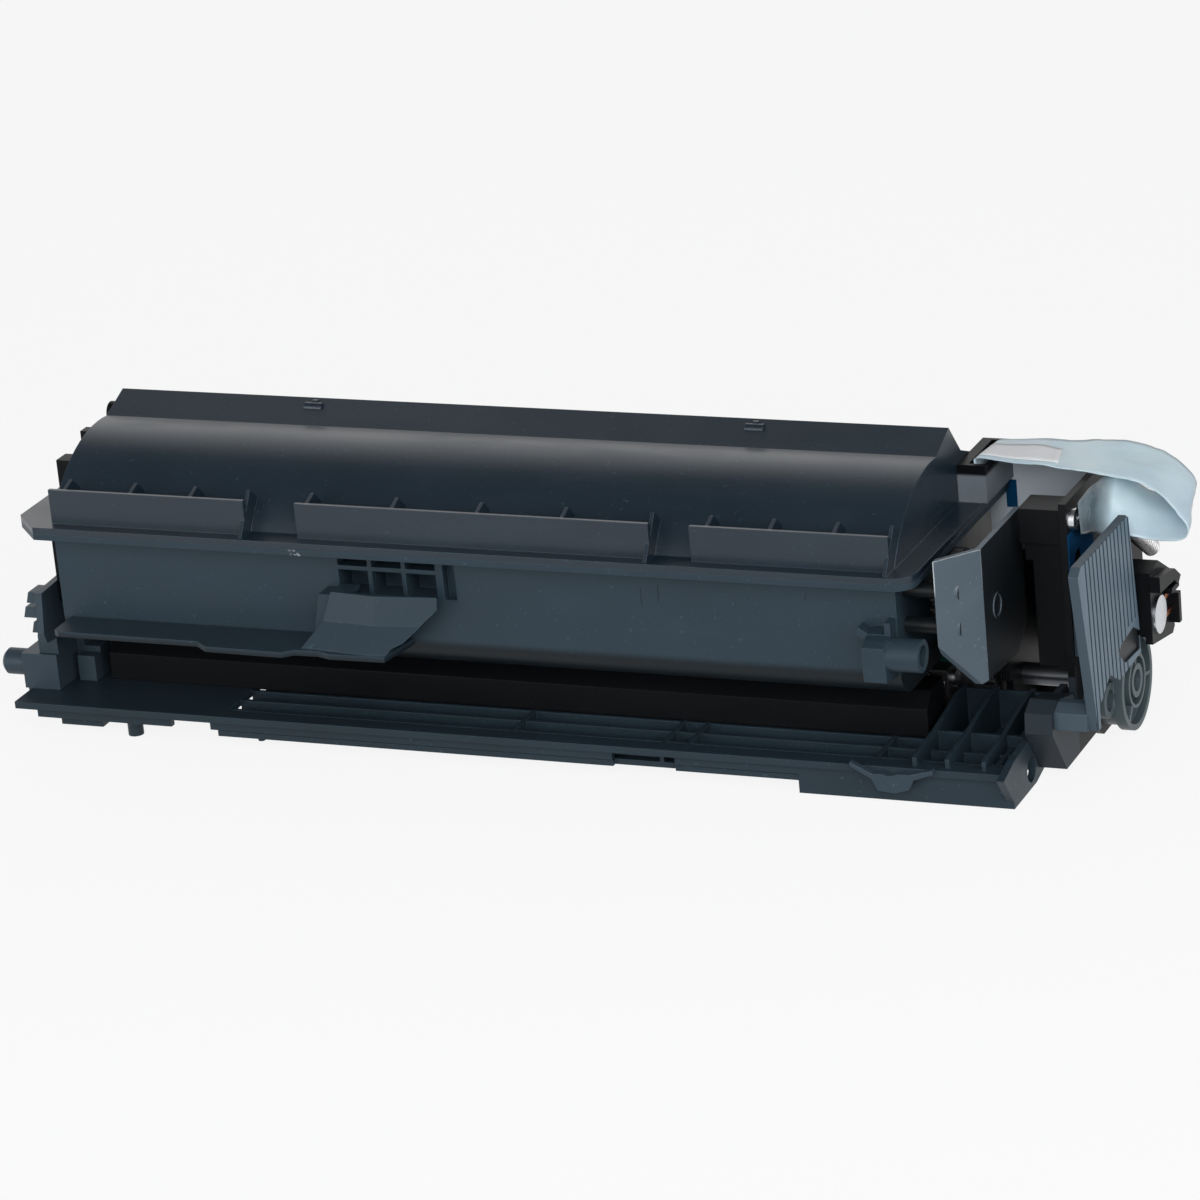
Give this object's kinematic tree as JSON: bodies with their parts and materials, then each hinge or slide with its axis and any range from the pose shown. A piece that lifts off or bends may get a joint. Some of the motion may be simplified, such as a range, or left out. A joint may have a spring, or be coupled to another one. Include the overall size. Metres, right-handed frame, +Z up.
{
  "type": "toner cartridge",
  "caption": "Toner cartridge with barrel-topped hopper, drum and developer under it, ribbed base, grip plate at one end and a pull-out seal film.",
  "frame": {"origin": "middle of the footprint, on the surface the cartridge stands on", "axes": "+X along the drum to the end with the grip plate and seal film, +Y to the back, +Z up"},
  "size_m": [0.337, 0.111, 0.0867],
  "materials": {
    "shell": "satin charcoal black",
    "frame": "satin dark grey",
    "black": "matt black",
    "gear": "natural acetal",
    "film": "clear blue-grey film",
    "blade_film": "clear polyester",
    "coated_drum": "green organic coating, glossy",
    "sleeve": "blasted dark",
    "magnet": "ferrite",
    "steel": "bright",
    "charge_rubber": "fine matt",
    "edge_rubber": "amber",
    "shutter": "dark brown",
    "copper": "copper"
  },
  "bodies": {
    "cartridge_body": {"hopper_lid": "shell", "toner_hopper": "shell", "front_guide": "shell", "idler_stud": "steel", "gear_cover": "frame", "seal_film": "film", "film_guide": "black", "drum_shaft": "steel", "magnet_core": "magnet", "developer_frame": "black", "doctor_blade": "steel", "developer_cover": "shell", "charge_bearings": "gear", "charge_springs": "steel", "waste_bin": "black", "cleaning_blade": "steel", "cleaning_edge": "edge_rubber", "shutter_pins": "steel", "shutter_spring": "steel", "base_frame": "shell", "edge_clip": "frame", "left_end_frame": "frame", "left_cover": "black", "right_end_frame": "frame", "grip_plate": "frame", "bearing_cap": "frame", "contact_bracket": "black", "electrode_disk": "steel", "contact_strips": "copper", "pressure_spring": "steel", "frame_screws": "steel"},
    "drum_body": {"drum": "coated_drum", "drum_gear": "gear", "drum_end_flange": "gear"},
    "developer_body": {"developer_sleeve": "sleeve", "developer_gear": "gear"},
    "idler_body": {"idler_gear": "gear"},
    "agitator_body": {"agitator": "frame", "agitator_blade": "blade_film", "agitator_gear": "gear"},
    "charge_body": {"charge_roller": "charge_rubber", "charge_shaft": "steel"},
    "shutter_body": {"drum_shutter": "shutter"}
  },
  "joints": [
    {"name": "drum_spin", "type": "hinge", "parent": "cartridge_body", "child": "drum_body", "pos_m": [0, 0.019, 0.014], "axis": [1, 0, 0], "continuous": true},
    {"name": "developer_spin", "type": "hinge", "parent": "cartridge_body", "child": "developer_body", "pos_m": [0, 0.03632, 0.024], "axis": [1, 0, 0], "continuous": true},
    {"name": "idler_spin", "type": "hinge", "parent": "cartridge_body", "child": "idler_body", "pos_m": [0, 0.00763, 0.03514], "axis": [1, 0, 0], "continuous": true},
    {"name": "agitator_spin", "type": "hinge", "parent": "cartridge_body", "child": "agitator_body", "pos_m": [0, -0.012, 0.0475], "axis": [1, 0, 0], "continuous": true},
    {"name": "charge_spin", "type": "hinge", "parent": "cartridge_body", "child": "charge_body", "pos_m": [0, 0.00229, 0.01848], "axis": [1, 0, 0], "continuous": true},
    {"name": "shutter_hinge", "type": "hinge", "parent": "cartridge_body", "child": "shutter_body", "pos_m": [0, 0.048, 0.0052], "axis": [1, 0, 0], "range_deg": [0, 75], "stiffness_Nm_per_rad": 0.03, "springref_deg": -22.92}
  ],
  "couplings": [
    {"joint": "developer_spin", "follows": "drum_spin", "ratio": -1.7778},
    {"joint": "idler_spin", "follows": "drum_spin", "ratio": -1.1429},
    {"joint": "agitator_spin", "follows": "drum_spin", "ratio": 1.0667},
    {"joint": "charge_spin", "follows": "drum_spin", "ratio": -2.4}
  ]
}
